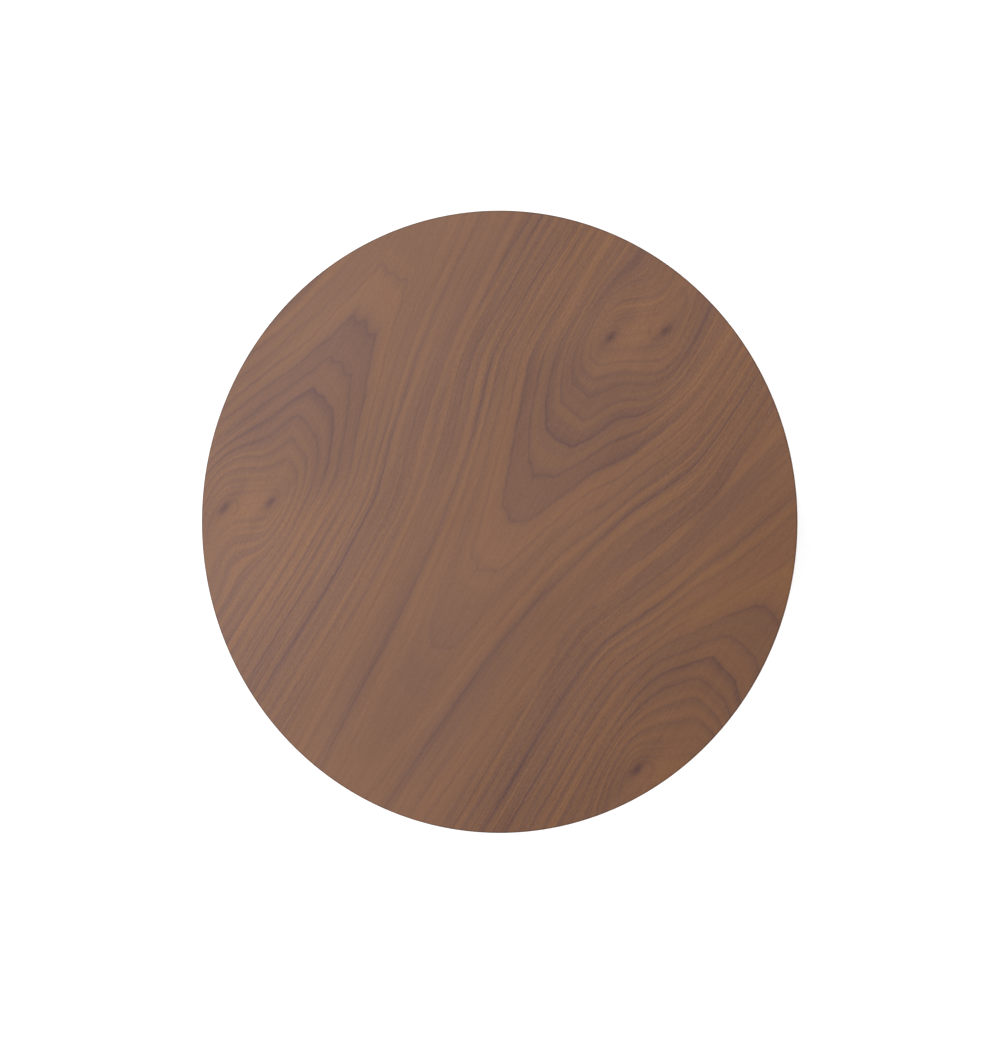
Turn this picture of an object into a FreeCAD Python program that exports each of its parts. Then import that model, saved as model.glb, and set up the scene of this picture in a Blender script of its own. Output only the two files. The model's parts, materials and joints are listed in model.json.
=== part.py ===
"""Round tilt-top pedestal table, in millimetres, +Z up, standing on z = 0.

The origin is on the floor under the middle of the column. The top tilts about
a pin that runs along Y, a little to the +X side of the column, and a spring
bolt on the -X side locks it level.
"""

import FreeCAD, Part
import math
import os

import Sketcher

DIMENSIONS = {
    # whole table
    "table_height": 730,
    "top_radius": 300,
    "close_fit": 0.05,
    "free_fit": 0.1,
    # the top, from the face down
    "veneer_thick": 0.6,
    "core_thick": 19,
    "core_radius": 270,
    "rim_land": 3.4,
    "bevel_run": 24,
    "rim_arris": 0.25,
    # brass inserts in the board
    "insert_radius": 5,
    "insert_bore": 3.05,
    "insert_length": 12,
    "insert_reach_back": 108,
    "insert_reach_mid": 10,
    "insert_reach_front": 88,
    "insert_spread": 46,
    # steel plate under the top
    "plate_thick": 3,
    "plate_back": 124,
    "plate_front": 104,
    "plate_half_width": 60,
    "plate_corner": 16,
    "ear_inner": 39.8,
    "ear_thick": 4,
    "ear_round": 14,
    "ear_foot": 30,
    "weld_leg": 2,
    "screw_shank": 3,
    "screw_clear": 3.2,
    "screw_head": 6,
    "screw_head_height": 3.6,
    "screw_length": 13,
    "screw_socket": 2.3,
    "socket_depth": 2.2,
    # tilt pin, clips and bushes
    "pivot_x": 48,
    "pivot_drop": 18,
    "pin_radius": 6,
    "pin_half": 46.5,
    "pin_bevel": 0.8,
    "groove_radius": 5.4,
    "clip_thick": 1,
    "clip_slack": 0.1,
    "clip_inner": 5.45,
    "clip_outer": 8.8,
    "clip_mouth": 4,
    "bush_bore": 6.05,
    "bush_radius": 8,
    "bush_length": 15,
    "bush_flange": 11,
    "bush_flange_thick": 1.5,
    # cast head
    "head_arm": 48,
    "head_half_width": 22,
    "head_top": 39,
    "head_barrel": 14,
    "head_barrel_half": 38,
    "head_flange_radius": 32,
    "head_flange_thick": 8,
    "head_spigot": 50,
    "head_pocket_depth": 12,
    "head_edge": 2,
    "head_neck": 26,
    "head_wall": 11,
    "head_roof": 12,
    "head_floor": 10,
    "hollow_front": 27,
    "arm_front": 58,
    "arm_thick": 12,
    "arm_root": 24,
    "arm_low": 17,
    "stop_height": 8,
    # rubber buffers
    "buffer_radius": 7.5,
    "buffer_stem": 3,
    "buffer_stem_length": 8,
    "buffer_x": 20,
    "buffer_y": 13,
    "buffer_edge": 1.5,
    # latch
    "latch_drop": 18.8,
    "bolt_radius": 5,
    "bolt_nose": 46,
    "bolt_length": 78,
    "bolt_tip": 3,
    "bolt_tip_length": 2.5,
    "bolt_thread": 4,
    "bolt_thread_length": 15,
    "strike_thick": 3,
    "strike_half_width": 16,
    "strike_low": 14,
    "strike_hole": 5.3,
    "strike_corner": 3,
    "strike_screw_y": 11,
    "strike_screw_drop": 19,
    "strike_shank": 2,
    "strike_screw_head": 3.8,
    "strike_screw_sink": 1.8,
    "strike_screw_length": 13,
    "strike_pocket": 7,
    "strike_pocket_depth": 10,
    "housing_middle": 88,
    "housing_half": 30,
    "housing_half_width": 15,
    "housing_depth": 32.8,
    "housing_wall": 8,
    "housing_bore": 5.06,
    "cavity_half_width": 9.5,
    "window_half": 15,
    "window_half_width": 5,
    "housing_flange": 26,
    "housing_flange_thick": 4,
    "housing_edge": 2,
    "housing_screw_x": 20,
    "housing_screw_y": 20.5,
    "housing_screw_shank": 2,
    "housing_screw_head": 3.8,
    "housing_screw_height": 2.6,
    "housing_socket": 1.45,
    "housing_socket_depth": 1.5,
    "collar_radius": 8.5,
    "collar_thick": 4,
    "latch_pin_radius": 1.25,
    "latch_pin_hole": 1.3,
    "latch_pin_half": 8.2,
    "spring_radius": 6.7,
    "spring_wire": 0.6,
    "spring_turns": 8,
    "knob_neck": 7,
    "knob_radius": 12.5,
    "knob_length": 26,
    "knob_rim": 9,
    "knob_flare": 5,
    "knob_shoulder": 3,
    "knob_round": 2.5,
    # column
    "tube_radius": 30,
    "tube_wall": 2,
    "tube_length": 624,
    "plug_flange": 6,
    "plug_spigot": 40,
    "collar_wide": 41,
    "collar_narrow": 32.5,
    "collar_foot": 5,
    "collar_height": 26,
    "collar_fit": 0.15,
    # tie rod
    "rod_radius": 6,
    "rod_clear": 6.5,
    "rod_engage": 35,
    "rod_bevel": 1,
    "nut_flats": 19,
    "nut_height": 10,
    "washer_radius": 17,
    "washer_thick": 2.5,
    "well_radius": 20,
    # base
    "pad_height": 6,
    "pad_sink": 1,
    "pad_radius": 16,
    "pad_ring": 180,
    "pad_count": 4,
    "pad_edge": 1,
    "pad_screw_hole": 2.6,
    "pad_screw_well": 5.2,
    "pad_screw_well_depth": 3,
    "pad_screw_head": 4.6,
    "pad_screw_head_height": 2,
    "pad_screw_shank": 2.2,
    "pad_screw_length": 13,
    "ballast_radius": 209,
    "ballast_edge": 7,
    "ballast_boss": 44,
    "ballast_height": 23.5,
    "well_depth": 13,
    "cover_radius": 215,
    "cover_gap": 3,
    "cover_skirt": 11,
    "cover_shoulder": 4,
    "cover_top": 30,
    "cover_thick": 1.5,
    "cover_hole": 8,
}

SHEET_NAME = "Dims"
TINY = 1e-9

# Edge numbers that a sketch gives to its origin and its two axes.
ORIGIN_POINT = -1
LEVEL_AXIS = -1
UPRIGHT_AXIS = -2
START_POINT, END_POINT, CENTRE_POINT = 1, 2, 3


class Size:
    """A length that keeps the spreadsheet formula it came from."""

    def __init__(self, value, formula):
        self.value = value
        self.formula = formula

    def join(self, other, sign, value):
        formula = other.formula if isinstance(other, Size) else repr(other)
        return Size(value, f"({self.formula} {sign} {formula})")

    def __add__(self, other):
        return self.join(other, "+", self.value + float(other))

    def __sub__(self, other):
        return self.join(other, "-", self.value - float(other))

    def __mul__(self, other):
        return self.join(other, "*", self.value * float(other))

    def __truediv__(self, other):
        return self.join(other, "/", self.value / float(other))

    def __neg__(self):
        return Size(-self.value, f"(-1 * {self.formula})")

    def __float__(self):
        return float(self.value)


class Sizes:
    """The driving dimensions, each readable as an attribute."""


def fill_sheet(doc):
    sheet = doc.addObject("Spreadsheet::Sheet", SHEET_NAME)
    sizes = Sizes()
    for row, (name, value) in enumerate(DIMENSIONS.items(), start=1):
        sheet.set(f"A{row}", name)
        sheet.set(f"B{row}", str(value))
        sheet.setAlias(f"B{row}", name)
        setattr(sizes, name, Size(value, f"{SHEET_NAME}.{name}"))
    return sizes


def origin_feature(body, role):
    return next(f for f in body.Origin.OriginFeatures if f.Role == role)


def bind(item, path, size):
    """Drives one property from the spreadsheet."""
    if isinstance(size, Size):
        item.setExpression(path, size.formula)
    else:
        item.setExpression(path, repr(size))


def new_body(name, x=0, y=0, z=0, turn=None):
    """An empty body at its place in the table; turn is (axis, degrees)."""
    body = doc.addObject("PartDesign::Body", name)
    body.Label = name
    if turn:
        body.Placement.Rotation = FreeCAD.Rotation(FreeCAD.Vector(*turn[0]), turn[1])
    for axis, size in zip("xyz", (x, y, z)):
        bind(body, f"Placement.Base.{axis}", size)
    return body


def new_sketch(body, role, offset=0):
    sketch = body.newObject("Sketcher::SketchObject", f"{body.Name}_sketch")
    sketch.AttachmentSupport = [(origin_feature(body, role), "")]
    sketch.MapMode = "FlatFace"
    bind(sketch, "AttachmentOffset.Base.z", offset)
    return sketch


def flat_point(point):
    return FreeCAD.Vector(float(point[0]), float(point[1]), 0)


def hold(sketch, edge, corner, point):
    """Fixes one sketch point at its distances from the two sketch axes."""
    for kind, size, axis in (("DistanceX", point[0], UPRIGHT_AXIS), ("DistanceY", point[1], LEVEL_AXIS)):
        value = float(size)
        if abs(value) < TINY:
            sketch.addConstraint(Sketcher.Constraint("PointOnObject", edge, corner, axis))
            continue
        row = sketch.addConstraint(
            Sketcher.Constraint(kind, ORIGIN_POINT, START_POINT, edge, corner, value)
        )
        if isinstance(size, Size):
            sketch.setExpression(f"Constraints[{row}]", size.formula)


def draw_outline(sketch, points):
    """A closed run of straight edges through the points."""
    first = sketch.GeometryCount
    count = len(points)
    for start, end in zip(points, points[1:] + points[:1]):
        sketch.addGeometry(Part.LineSegment(flat_point(start), flat_point(end)), False)
    for step in range(count):
        following = first + (step + 1) % count
        sketch.addConstraint(
            Sketcher.Constraint("Coincident", first + step, END_POINT, following, START_POINT)
        )
    for step, point in enumerate(points):
        hold(sketch, first + step, START_POINT, point)


def draw_circle(sketch, centre, radius):
    edge = sketch.addGeometry(
        Part.Circle(flat_point(centre), FreeCAD.Vector(0, 0, 1), float(radius)), False
    )
    hold(sketch, edge, CENTRE_POINT, centre)
    row = sketch.addConstraint(Sketcher.Constraint("Radius", edge, float(radius)))
    sketch.setExpression(f"Constraints[{row}]", radius.formula)


def draw_hexagon(sketch, centre, half_flats):
    """A hexagon with two flats square to the sketch's level axis."""
    reach = half_flats * (2 / math.sqrt(3))
    corners = []
    for step in range(6):
        angle = math.radians(60 * step + 30)
        across = round(math.cos(angle), 9)
        along = round(math.sin(angle), 9)
        corners.append((reach * across + centre[0], reach * along + centre[1]))
    draw_outline(sketch, corners)


def rectangle(low_x, low_y, high_x, high_y):
    return [(low_x, low_y), (high_x, low_y), (high_x, high_y), (low_x, high_y)]


def extrude(body, kind, sketch, length, both_ways=False, backwards=False):
    """A pad or a pocket; both_ways centres it on the sketch."""
    feature = body.newObject(f"PartDesign::{kind}", f"{body.Name}_{kind.lower()}")
    feature.Profile = sketch
    bind(feature, "Length", length)
    feature.SideType = "Symmetric" if both_ways else "One side"
    feature.Reversed = backwards
    finish_step(body, feature)
    return feature


def finish_step(body, feature):
    body.Tip = feature
    doc.recompute()


def pad_outline(body, role, points, length, offset=0, **ways):
    sketch = new_sketch(body, role, offset)
    draw_outline(sketch, points)
    return extrude(body, "Pad", sketch, length, **ways)


def cut_outline(body, role, points, length, offset=0, **ways):
    sketch = new_sketch(body, role, offset)
    draw_outline(sketch, points)
    return extrude(body, "Pocket", sketch, length, **ways)


def pad_circles(body, role, centres, radii, length, offset=0, **ways):
    """Discs, or rings where two radii are given."""
    sketch = new_sketch(body, role, offset)
    for centre in centres:
        for radius in radii:
            draw_circle(sketch, centre, radius)
    return extrude(body, "Pad", sketch, length, **ways)


def cut_circles(body, role, centres, radius, length, offset=0, **ways):
    sketch = new_sketch(body, role, offset)
    for centre in centres:
        draw_circle(sketch, centre, radius)
    return extrude(body, "Pocket", sketch, length, **ways)


def cut_hexagons(body, role, centres, half_flats, length, offset=0, **ways):
    sketch = new_sketch(body, role, offset)
    for centre in centres:
        draw_hexagon(sketch, centre, half_flats)
    return extrude(body, "Pocket", sketch, length, **ways)


def turn_profile(body, points, axis="V_Axis", role="XZ_Plane"):
    """A solid of revolution from its half profile."""
    sketch = new_sketch(body, role)
    draw_outline(sketch, points)
    feature = body.newObject("PartDesign::Revolution", f"{body.Name}_turned")
    feature.Profile = sketch
    feature.ReferenceAxis = (sketch, [axis])
    feature.Angle = 360
    finish_step(body, feature)
    return feature


def turn_about_line(body, kind, points, start, end, role, offset=0):
    """A Revolution or a Groove about a line drawn in the sketch from start to end."""
    sketch = new_sketch(body, role, offset)
    draw_outline(sketch, points)
    line = sketch.addGeometry(Part.LineSegment(flat_point(start), flat_point(end)), True)
    hold(sketch, line, START_POINT, start)
    hold(sketch, line, END_POINT, end)
    feature = body.newObject(f"PartDesign::{kind}", f"{body.Name}_turned")
    feature.Profile = sketch
    feature.ReferenceAxis = (sketch, ["Axis0"])
    feature.Angle = 360
    finish_step(body, feature)
    return feature


def mirror(body, features, role):
    feature = body.newObject("PartDesign::Mirrored", f"{body.Name}_mirrored")
    feature.Originals = features
    feature.MirrorPlane = (origin_feature(body, role), [""])
    finish_step(body, feature)
    return feature


def polar(body, features, count):
    feature = body.newObject("PartDesign::PolarPattern", f"{body.Name}_pattern")
    feature.Originals = features
    feature.Axis = (origin_feature(body, "Z_Axis"), [""])
    feature.Angle = 360
    bind(feature, "Occurrences", count)
    finish_step(body, feature)
    return feature


def dress_edges(body, kind, size, wanted):
    """Rounds or bevels every edge of the tip for which wanted(edge) holds."""
    base = body.Tip
    names = [f"Edge{i}" for i, edge in enumerate(base.Shape.Edges, start=1) if wanted(edge)]
    feature = body.newObject(f"PartDesign::{kind}", f"{body.Name}_{kind.lower()}")
    feature.Base = (base, names)
    bind(feature, "Radius" if kind == "Fillet" else "Size", size)
    finish_step(body, feature)
    return feature


def round_edges(body, size, wanted):
    return dress_edges(body, "Fillet", size, wanted)


def bevel_edges(body, size, wanted):
    return dress_edges(body, "Chamfer", size, wanted)


def circle_at(height, radius=None, axis=2):
    """Picks circular edges at one height along an axis, and of one radius if given."""

    def wanted(edge):
        if not isinstance(edge.Curve, Part.Circle):
            return False
        if abs(tuple(edge.Curve.Center)[axis] - float(height)) > 1e-4:
            return False
        return radius is None or abs(edge.Curve.Radius - float(radius)) < 1e-4

    return wanted


def runs_along(axis, **limits):
    """Picks straight edges along one axis whose middle lies at the given places."""

    def wanted(edge):
        if not isinstance(edge.Curve, Part.Line):
            return False
        direction = tuple(edge.Curve.Direction)
        if abs(abs(direction["xyz".index(axis)]) - 1) > 1e-6:
            return False
        middle = edge.CenterOfMass
        return all(abs(getattr(middle, name) - float(place)) < 1e-4 for name, place in limits.items())

    return wanted


def lies_in(**places):
    """Picks edges that lie wholly in the planes given, such as y=22."""

    def wanted(edge):
        box = edge.BoundBox
        for name, place in places.items():
            low = getattr(box, f"{name.upper()}Min")
            high = getattr(box, f"{name.upper()}Max")
            if abs(low - float(place)) > 1e-4 or abs(high - float(place)) > 1e-4:
                return False
        return True

    return wanted


def either(*tests):
    return lambda edge: any(test(edge) for test in tests)


def four_corners(across, along):
    return [(across, along), (-across, along), (-across, -along), (across, -along)]


def plate_height(d):
    """The underside of the mounting plate."""
    return d.table_height - d.core_thick - d.veneer_thick * 2 - d.plate_thick


def pivot_height(d):
    return plate_height(d) - d.pivot_drop


def tube_top(d):
    return d.cover_top + d.plug_flange + d.tube_length


def screw_places(d):
    """The six plate screws, as (x, y)."""
    reaches = (-d.insert_reach_back, -d.insert_reach_mid, d.insert_reach_front)
    return [(x, y) for x in reaches for y in (d.insert_spread, -d.insert_spread)]


def build_top(d):
    """Veneers, board and edge ring."""
    face_z = d.table_height - d.veneer_thick
    core_z = face_z - d.core_thick
    back_z = core_z - d.veneer_thick
    back_radius = d.top_radius - d.bevel_run

    veneer = new_body("top_veneer", z=face_z)
    pad_circles(veneer, "XY_Plane", [(0, 0)], [d.top_radius], d.veneer_thick)
    bevel_edges(veneer, d.rim_arris, circle_at(d.veneer_thick))

    core = new_body("top_core", z=core_z)
    pad_circles(core, "XY_Plane", [(0, 0)], [d.core_radius], d.core_thick)
    insert_hole = d.insert_radius + d.close_fit
    insert_depth = d.insert_length
    cut_circles(core, "XY_Plane", screw_places(d), insert_hole, insert_depth, backwards=True)

    lipping = new_body("top_lipping", z=core_z)
    turn_profile(
        lipping,
        [
            (d.core_radius, 0),
            (back_radius, 0),
            (d.top_radius, d.core_thick - d.rim_land),
            (d.top_radius, d.core_thick),
            (d.core_radius, d.core_thick),
        ],
    )
    round_edges(lipping, d.rim_arris * 4, circle_at(d.core_thick - d.rim_land))

    backing = new_body("backing_veneer", z=back_z)
    pad_circles(backing, "XY_Plane", [(0, 0)], [back_radius], d.veneer_thick)
    cut_circles(backing, "XY_Plane", screw_places(d), insert_hole, d.veneer_thick, backwards=True)

    inserts = new_body("threaded_inserts", z=back_z)
    pad_circles(
        inserts, "XY_Plane", screw_places(d), [d.insert_radius, d.insert_bore], d.insert_length
    )


def build_plate(d):
    """Steel plate with its two pivot ears, and the screws into the inserts."""
    plate_z = plate_height(d)
    ear_outer = d.ear_inner + d.ear_thick
    ear_middle = d.ear_inner + d.ear_thick / 2

    plate = new_body("mounting_plate", z=plate_z)
    pad_outline(
        plate,
        "XY_Plane",
        rectangle(-d.plate_back, -d.plate_half_width, d.plate_front, d.plate_half_width),
        d.plate_thick,
    )
    round_edges(plate, d.plate_corner, runs_along("z"))
    pivot = (d.pivot_x, -d.pivot_drop)
    flank = [
        (d.pivot_x - d.ear_foot, 0),
        (d.pivot_x + d.ear_foot, 0),
        (d.pivot_x + d.ear_round, -d.pivot_drop),
        (d.pivot_x - d.ear_round, -d.pivot_drop),
    ]
    flanks = pad_outline(plate, "XZ_Plane", flank, d.ear_thick, offset=-ear_middle, both_ways=True)
    tip = pad_circles(
        plate, "XZ_Plane", [pivot], [d.ear_round], d.ear_thick, offset=-ear_middle, both_ways=True
    )
    mirror(plate, [flanks, tip], "XZ_Plane")
    sides = [runs_along("x", z=0, y=y) for y in (d.ear_inner, ear_outer, -d.ear_inner, -ear_outer)]
    round_edges(plate, d.weld_leg, either(*sides))
    pin_hole = d.pin_radius + d.close_fit
    cut_circles(plate, "XZ_Plane", [pivot], pin_hole, ear_outer * 2 + 2, both_ways=True)
    cut_circles(
        plate, "XY_Plane", screw_places(d), d.screw_clear, d.plate_thick * 3, both_ways=True
    )
    latch_screws = [
        (x - d.housing_middle, y) for x, y in four_corners(d.housing_screw_x, d.housing_screw_y)
    ]
    thread = d.housing_screw_shank + d.close_fit
    cut_circles(plate, "XY_Plane", latch_screws, thread, d.plate_thick * 3, both_ways=True)

    screws = new_body("plate_screws", z=plate_z)
    pad_circles(
        screws, "XY_Plane", screw_places(d), [d.screw_head], d.screw_head_height, backwards=True
    )
    round_edges(screws, d.weld_leg, circle_at(-d.screw_head_height))
    pad_circles(screws, "XY_Plane", screw_places(d), [d.screw_shank], d.screw_length)
    cut_hexagons(
        screws,
        "XY_Plane",
        screw_places(d),
        d.screw_socket,
        d.socket_depth,
        offset=-d.screw_head_height,
        backwards=True,
    )


def build_pivot(d):
    """Tilt pin, its clips and the bushes it turns in. Each is drawn along its own Z."""
    pivot_z = pivot_height(d)
    lay_down = ((1, 0, 0), 90)
    groove_low = d.ear_inner + d.ear_thick
    groove_high = groove_low + d.clip_thick + d.clip_slack
    straight = d.pin_half - d.pin_bevel

    pin = new_body("pivot_shaft", x=d.pivot_x, z=pivot_z, turn=lay_down)
    half = [
        (d.pin_radius, groove_low),
        (d.groove_radius, groove_low),
        (d.groove_radius, groove_high),
        (d.pin_radius, groove_high),
        (d.pin_radius, straight),
        (d.pin_radius - d.pin_bevel, d.pin_half),
    ]
    lower = [(radius, -height) for radius, height in reversed(half)]
    turn_profile(pin, [(0, -d.pin_half)] + lower + half + [(0, d.pin_half)])

    clips = new_body("retaining_clips", x=d.pivot_x, z=pivot_z, turn=lay_down)
    ring = pad_circles(
        clips, "XY_Plane", [(0, 0)], [d.clip_outer, d.clip_inner], d.clip_thick, offset=groove_low
    )
    mouth = cut_outline(
        clips,
        "XY_Plane",
        rectangle(-d.clip_mouth, 0, d.clip_mouth, d.clip_outer + 1),
        d.clip_thick * 4,
        offset=groove_low,
        both_ways=True,
    )
    mirror(clips, [ring, mouth], "XY_Plane")

    bushes = new_body("pivot_bushes", x=d.pivot_x, z=pivot_z, turn=lay_down)
    sleeve = turn_profile(
        bushes,
        [
            (d.bush_bore, d.head_barrel_half - d.bush_length),
            (d.bush_radius, d.head_barrel_half - d.bush_length),
            (d.bush_radius, d.head_barrel_half),
            (d.bush_flange, d.head_barrel_half),
            (d.bush_flange, d.head_barrel_half + d.bush_flange_thick),
            (d.bush_bore, d.head_barrel_half + d.bush_flange_thick),
        ],
    )
    mirror(bushes, [sleeve], "XY_Plane")


def build_head(d):
    """Cast head, drawn from the top of the tube, with its buffers and strike."""
    base_z = tube_top(d)
    pivot_up = pivot_height(d) - base_z
    latch_up = plate_height(d) - d.latch_drop - base_z
    width = d.head_half_width * 2
    screw_up = d.head_top - d.strike_screw_drop

    head = new_body("tilt_head", z=base_z)
    side = [
        (-d.head_arm, d.strike_low),
        (-d.head_neck, d.head_edge),
        (d.arm_front - d.arm_root, d.head_edge),
        (d.arm_front - d.arm_thick, -d.arm_low),
        (d.arm_front, -d.arm_low),
        (d.arm_front, pivot_up),
        (d.pivot_x, pivot_up + d.head_barrel - 1),
        (0, d.head_top),
        (-d.head_arm, d.head_top),
    ]
    pad_outline(head, "XZ_Plane", side, width, both_ways=True)
    round_edges(
        head, d.head_edge, either(lies_in(y=d.head_half_width), lies_in(y=-d.head_half_width))
    )
    back_wall = -d.head_arm + d.head_wall
    hollow = [
        (back_wall, d.head_floor + d.head_wall / 2),
        (-d.head_neck + d.head_edge * 2, d.head_floor),
        (d.hollow_front, d.head_floor),
        (d.hollow_front, d.head_top - d.head_roof),
        (back_wall, d.head_top - d.head_roof),
    ]
    hollow_cut = cut_outline(
        head, "XZ_Plane", hollow, d.head_pocket_depth, offset=d.head_half_width
    )
    mirror(head, [hollow_cut], "XZ_Plane")
    turn_profile(
        head,
        [
            (0, -d.head_spigot),
            (d.tube_radius - d.tube_wall - d.free_fit, -d.head_spigot),
            (d.tube_radius - d.tube_wall - d.free_fit, 0),
            (d.head_flange_radius, 0),
            (d.head_flange_radius, d.head_flange_thick),
            (0, d.head_flange_thick),
        ],
    )
    barrel = [(d.pivot_x, pivot_up)]
    pad_circles(head, "XZ_Plane", barrel, [d.head_barrel], d.head_barrel_half * 2, both_ways=True)
    bevel_edges(
        head,
        d.buffer_edge / 2,
        either(
            circle_at(d.head_barrel_half, d.head_barrel, axis=1),
            circle_at(-d.head_barrel_half, d.head_barrel, axis=1),
            circle_at(-d.head_spigot),
            circle_at(0, d.head_flange_radius),
        ),
    )
    cut_circles(
        head, "XZ_Plane", barrel, d.bush_radius, d.head_barrel_half * 2 + 2, both_ways=True
    )
    cut_circles(
        head,
        "XY_Plane",
        [(0, 0)],
        d.rod_radius + d.close_fit,
        d.rod_engage + d.head_edge,
        offset=-d.head_spigot,
        backwards=True,
    )
    cut_circles(
        head,
        "YZ_Plane",
        [(0, latch_up)],
        d.strike_pocket,
        d.strike_pocket_depth,
        offset=-d.head_arm,
        backwards=True,
    )
    cut_circles(
        head,
        "YZ_Plane",
        [(d.strike_screw_y, screw_up), (-d.strike_screw_y, screw_up)],
        d.strike_shank + d.close_fit,
        d.strike_screw_length,
        offset=-d.head_arm,
        backwards=True,
    )
    cut_circles(
        head,
        "XY_Plane",
        [(-d.buffer_x, d.buffer_y), (-d.buffer_x, -d.buffer_y)],
        d.buffer_stem + d.close_fit,
        d.buffer_stem_length,
        offset=d.head_top,
    )
    cut_circles(
        head,
        "YZ_Plane",
        [(0, -d.stop_height)],
        d.buffer_stem + d.close_fit,
        d.buffer_stem_length,
        offset=d.arm_front,
    )

    platform_z = base_z + d.head_top
    buffers = new_body("rest_buffers", z=platform_z)
    seats = [(-d.buffer_x, d.buffer_y), (-d.buffer_x, -d.buffer_y)]
    buffer_height = plate_height(d) - platform_z
    pad_circles(buffers, "XY_Plane", seats, [d.buffer_radius], buffer_height)
    round_edges(buffers, d.buffer_edge, circle_at(buffer_height))
    pad_circles(
        buffers, "XY_Plane", seats, [d.buffer_stem], d.buffer_stem_length, backwards=True
    )

    # Upright, the plate stands as far in front of the pin as it lay above it.
    stop_reach = d.pivot_x + d.pivot_drop - d.arm_front
    stop = new_body("tilt_stop_buffer", x=d.arm_front, z=base_z - d.stop_height)
    pad_circles(stop, "YZ_Plane", [(0, 0)], [d.buffer_radius], stop_reach)
    round_edges(stop, d.buffer_edge, circle_at(stop_reach, axis=0))
    pad_circles(stop, "YZ_Plane", [(0, 0)], [d.buffer_stem], d.buffer_stem_length, backwards=True)

    strike = new_body("strike_plate", x=-d.head_arm, z=base_z)
    pad_outline(
        strike,
        "YZ_Plane",
        rectangle(-d.strike_half_width, d.strike_low, d.strike_half_width, d.head_top),
        d.strike_thick,
        backwards=True,
    )
    round_edges(strike, d.strike_corner, runs_along("x"))
    cut_circles(
        strike, "YZ_Plane", [(0, latch_up)], d.strike_hole, d.strike_thick * 3, both_ways=True
    )
    outer_face = -d.strike_thick
    clear_of_face = outer_face - 1
    sink = turn_about_line(
        strike,
        "Groove",
        [
            (clear_of_face, d.strike_screw_y),
            (clear_of_face, d.strike_screw_y + d.strike_screw_head),
            (outer_face, d.strike_screw_y + d.strike_screw_head),
            (outer_face + d.strike_screw_sink, d.strike_screw_y + d.strike_shank),
            (d.strike_thick, d.strike_screw_y + d.strike_shank),
            (d.strike_thick, d.strike_screw_y),
        ],
        (clear_of_face, d.strike_screw_y),
        (d.strike_thick, d.strike_screw_y),
        "XY_Plane",
        screw_up,
    )
    mirror(strike, [sink], "XZ_Plane")

    screws = new_body("strike_screws", x=-d.head_arm - d.strike_thick, z=base_z + screw_up)
    shaft = turn_about_line(
        screws,
        "Revolution",
        [
            (0, d.strike_screw_y),
            (0, d.strike_screw_y + d.strike_screw_head),
            (d.strike_screw_sink, d.strike_screw_y + d.strike_shank),
            (d.strike_screw_length, d.strike_screw_y + d.strike_shank),
            (d.strike_screw_length + 1, d.strike_screw_y),
        ],
        (0, d.strike_screw_y),
        (d.strike_screw_length + 1, d.strike_screw_y),
        "XY_Plane",
    )
    mirror(screws, [shaft], "XZ_Plane")
    cut_hexagons(
        screws,
        "YZ_Plane",
        [(d.strike_screw_y, 0), (-d.strike_screw_y, 0)],
        d.housing_socket,
        d.housing_socket_depth,
        backwards=True,
    )


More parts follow.
